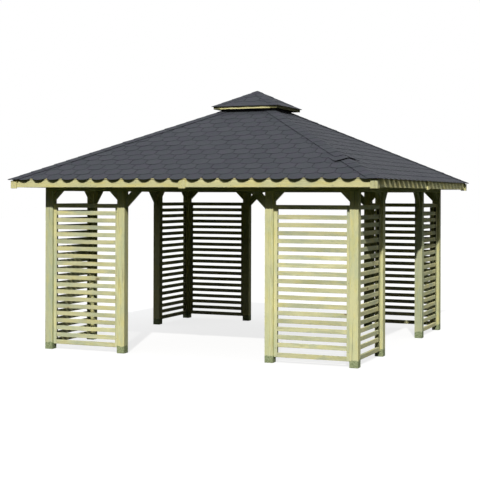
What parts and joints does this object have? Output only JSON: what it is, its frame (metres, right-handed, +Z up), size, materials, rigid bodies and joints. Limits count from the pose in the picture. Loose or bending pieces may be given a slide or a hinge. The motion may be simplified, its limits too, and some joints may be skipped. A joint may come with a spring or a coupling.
{
  "type": "garden gazebo",
  "caption": "Square open timber gazebo with slatted corner screens, braced posts and a low hipped shingle roof under a small raised hat.",
  "frame": {"origin": "on the ground under the middle of the roof", "axes": "+Z up; +Y from the front side to the back; +X from the left side to the right"},
  "size_m": [4.666, 4.666, 3.2772],
  "materials": {
    "posts": "rough",
    "screens": "rough",
    "frame_timber": "rough",
    "fascia_timber": "rough",
    "roof_boards": "rough",
    "shingles": "rough"
  },
  "bodies": {
    "root": {"post_front_left": "posts", "post_front_right": "posts", "post_back_right": "posts", "post_back_left": "posts", "post_front_bay_left": "posts", "post_front_bay_right": "posts", "post_right_bay_front": "posts", "post_right_bay_back": "posts", "post_back_bay_right": "posts", "post_back_bay_left": "posts", "post_left_bay_back": "posts", "post_left_bay_front": "posts", "screen_front_left": "screens", "screen_front_right": "screens", "screen_right_front": "screens", "screen_right_back": "screens", "screen_back_right": "screens", "screen_back_left": "screens", "screen_left_back": "screens", "screen_left_front": "screens", "beam_front": "frame_timber", "beam_right": "frame_timber", "beam_back": "frame_timber", "beam_left": "frame_timber", "braces_front": "frame_timber", "braces_right": "frame_timber", "braces_back": "frame_timber", "braces_left": "frame_timber", "crown_ring": "frame_timber", "hip_rafters": "frame_timber", "common_rafters": "frame_timber", "roof_boards_front": "roof_boards", "roof_boards_right": "roof_boards", "roof_boards_back": "roof_boards", "roof_boards_left": "roof_boards", "shingles_front": "shingles", "shingles_right": "shingles", "shingles_back": "shingles", "shingles_left": "shingles", "hip_caps": "shingles", "fascia_front": "fascia_timber", "fascia_right": "fascia_timber", "fascia_back": "fascia_timber", "fascia_left": "fascia_timber", "fascia_blocks": "fascia_timber", "hat_frame": "fascia_timber", "hat_boards": "roof_boards", "hat_shingles": "shingles"}
  },
  "joints": []
}
